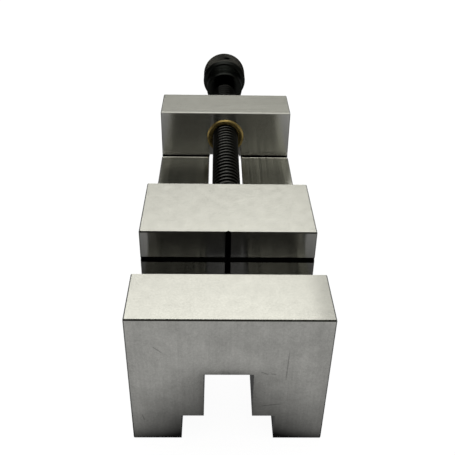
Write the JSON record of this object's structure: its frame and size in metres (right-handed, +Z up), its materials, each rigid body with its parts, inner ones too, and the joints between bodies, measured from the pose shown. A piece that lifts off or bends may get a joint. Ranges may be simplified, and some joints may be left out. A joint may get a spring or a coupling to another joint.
{
  "type": "precision grinding vise",
  "caption": "Ground steel screw vise with a one-piece body, sliding jaw with vee grooves, stepped guide slot, bronze nut, trapezoidal screw and tommy bar knob.",
  "frame": {"origin": "under the middle of the whole vise at rest, on the plane of the body's underside", "axes": "+X right as seen from the fixed jaw's end, +Y along the screw from the fixed jaw to the knob, +Z up"},
  "size_m": [0.088, 0.3334, 0.074],
  "materials": {
    "ground_steel_body": "fine ground",
    "ground_steel_jaw": "fine ground",
    "plate_steel": "milled",
    "bright_small_steel": "ground",
    "black_oxide_screw": "black oxide, lightly oiled",
    "black_oxide_knob": "black oxide",
    "black_fastener": "black oxide",
    "bronze": "turned"
  },
  "bodies": {
    "vise_body": {"body": "ground_steel_body", "lead_nut": "bronze", "nut_lock_screw": "black_fastener"},
    "sliding_jaw": {"movable_jaw": "ground_steel_jaw", "hold_down_plate": "plate_steel", "plate_screw_front": "black_fastener", "plate_screw_rear": "black_fastener", "plate_washer_front": "bright_small_steel", "plate_washer_rear": "bright_small_steel", "thrust_ball": "bright_small_steel", "retaining_pin_left": "bright_small_steel", "retaining_pin_right": "bright_small_steel"},
    "turning_screw": {"lead_screw": "black_oxide_screw", "knob": "black_oxide_knob", "knob_pin": "bright_small_steel"}
  },
  "joints": [
    {"name": "jaw_slide", "type": "slide", "parent": "vise_body", "child": "sliding_jaw", "axis": [0, 1, 0], "range_m": [-0.033, 0.092]},
    {"name": "screw_turn", "type": "hinge", "parent": "sliding_jaw", "child": "turning_screw", "pos_m": [0, -0.0665, 0.0563], "axis": [0, 1, 0], "range_deg": [-2970, 8280]}
  ],
  "couplings": [
    {"joint": "screw_turn", "follows": "jaw_slide", "rad_per_m": 1570.8}
  ]
}
